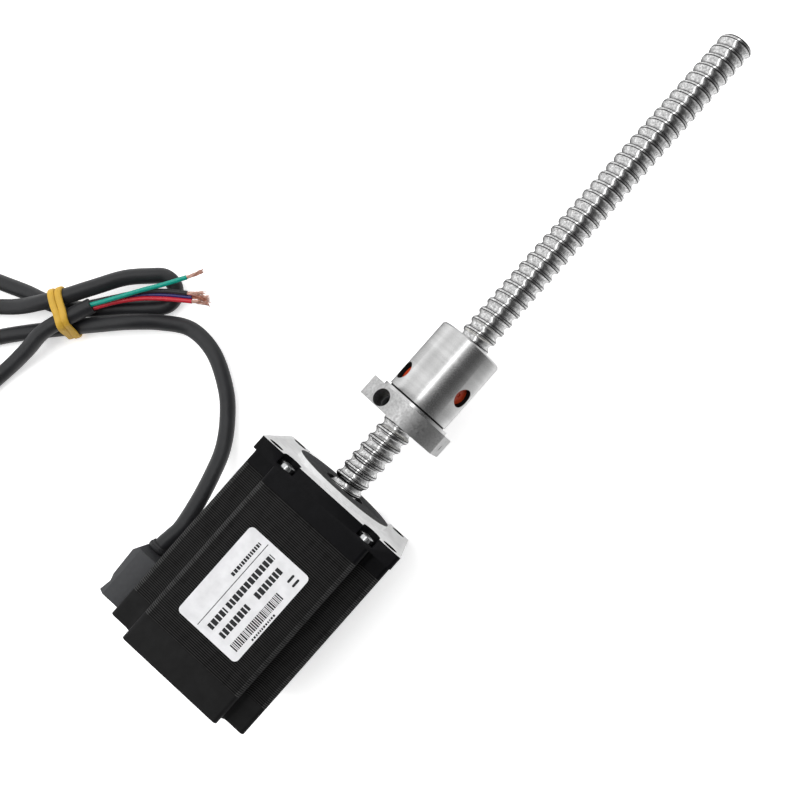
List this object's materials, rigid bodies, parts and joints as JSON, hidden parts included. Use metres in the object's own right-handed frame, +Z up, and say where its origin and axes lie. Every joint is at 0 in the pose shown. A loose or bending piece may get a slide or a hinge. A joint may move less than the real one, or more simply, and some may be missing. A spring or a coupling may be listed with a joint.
{
  "type": "stepper motor with ball screw shaft",
  "caption": "Square hybrid stepper motor whose shaft is a ball screw carrying a flanged ball nut, with a tied lead cable ending in bare cores.",
  "frame": {"origin": "centre of the front mounting face, on the screw axis", "axes": "+X out along the screw away from the motor, +Z up with the motor lying on its flat lower side, +Y towards the cable boot"},
  "size_m": [0.3264, 0.241, 0.0565],
  "materials": {
    "black_bell": "satin black coating on cast aluminium, bare metal on the machined front face",
    "laminations": "black coated steel laminations with fine edges",
    "bobbin": "moulded",
    "winding": "enamelled copper wire",
    "board": "printed board",
    "bearing_steel": "ground",
    "ball_steel": "polished",
    "screw_steel": "ground and polished",
    "nut_steel": "ground body, grey flange",
    "rotor_steel": "laminated",
    "magnet": "sintered magnet",
    "spacer_steel": "turned",
    "cage": "pressed",
    "zinc_screws": "bright zinc plated",
    "label": "printed white film",
    "boot_plastic": "fine moulded texture",
    "cable_jacket": "matt extruded jacket",
    "core_green": "extruded insulation",
    "core_red": "extruded insulation",
    "core_blue": "extruded insulation",
    "core_black": "extruded insulation",
    "bare_copper": "bare stranded copper",
    "band_rubber": "golden rubber band",
    "deflector_plastic": "moulded",
    "wiper_plastic": "moulded"
  },
  "bodies": {
    "motor": {"front_end_bell": "black_bell", "stator_core": "laminations", "rear_end_bell": "black_bell", "front_insulator": "bobbin", "rear_insulator": "bobbin", "phase_a_coils": "winding", "phase_b_coils": "winding", "terminal_board": "board", "front_outer_race": "bearing_steel", "front_bearing_shields": "bearing_steel", "rear_outer_race": "bearing_steel", "rear_bearing_shields": "bearing_steel", "wave_washer": "bearing_steel", "tie_screws": "zinc_screws", "rating_label": "label", "cable_boot": "boot_plastic", "cable_grommet": "boot_plastic", "lead_cable": "cable_jacket", "core_green": "core_green", "core_red": "core_red", "core_blue": "core_blue", "core_black": "core_black", "conductor_ends": "bare_copper", "cable_band": "band_rubber"},
    "rotor": {"ball_screw": "screw_steel", "rotor_cup_front": "rotor_steel", "rotor_magnet": "magnet", "rotor_cup_rear": "rotor_steel", "front_spacer": "spacer_steel", "rear_spacer": "spacer_steel", "front_inner_race": "bearing_steel", "rear_inner_race": "bearing_steel"},
    "front_balls": {"front_bearing_balls": "ball_steel", "front_ball_cage": "cage"},
    "rear_balls": {"rear_bearing_balls": "ball_steel", "rear_ball_cage": "cage"},
    "nut": {"ball_nut": "nut_steel", "ball_deflectors": "deflector_plastic", "nut_balls": "ball_steel", "front_wiper": "wiper_plastic", "rear_wiper": "wiper_plastic"}
  },
  "joints": [
    {"name": "screw_spin", "type": "hinge", "parent": "motor", "child": "rotor", "pos_m": [0, 0, 0], "axis": [1, 0, 0], "range_deg": [-11520, 2160]},
    {"name": "nut_travel", "type": "slide", "parent": "motor", "child": "nut", "axis": [1, 0, 0], "range_m": [-0.0242, 0.1282]},
    {"name": "front_balls_roll", "type": "hinge", "parent": "motor", "child": "front_balls", "pos_m": [-0.0065, 0, 0], "axis": [1, 0, 0], "range_deg": [-4400, 830]},
    {"name": "rear_balls_roll", "type": "hinge", "parent": "motor", "child": "rear_balls", "pos_m": [-0.0685, 0, 0], "axis": [1, 0, 0], "range_deg": [-4400, 830]}
  ],
  "couplings": [
    {"joint": "nut_travel", "follows": "screw_spin", "m_per_rad": -0.00063662},
    {"joint": "front_balls_roll", "follows": "screw_spin", "ratio": 0.3778},
    {"joint": "rear_balls_roll", "follows": "screw_spin", "ratio": 0.3767}
  ]
}
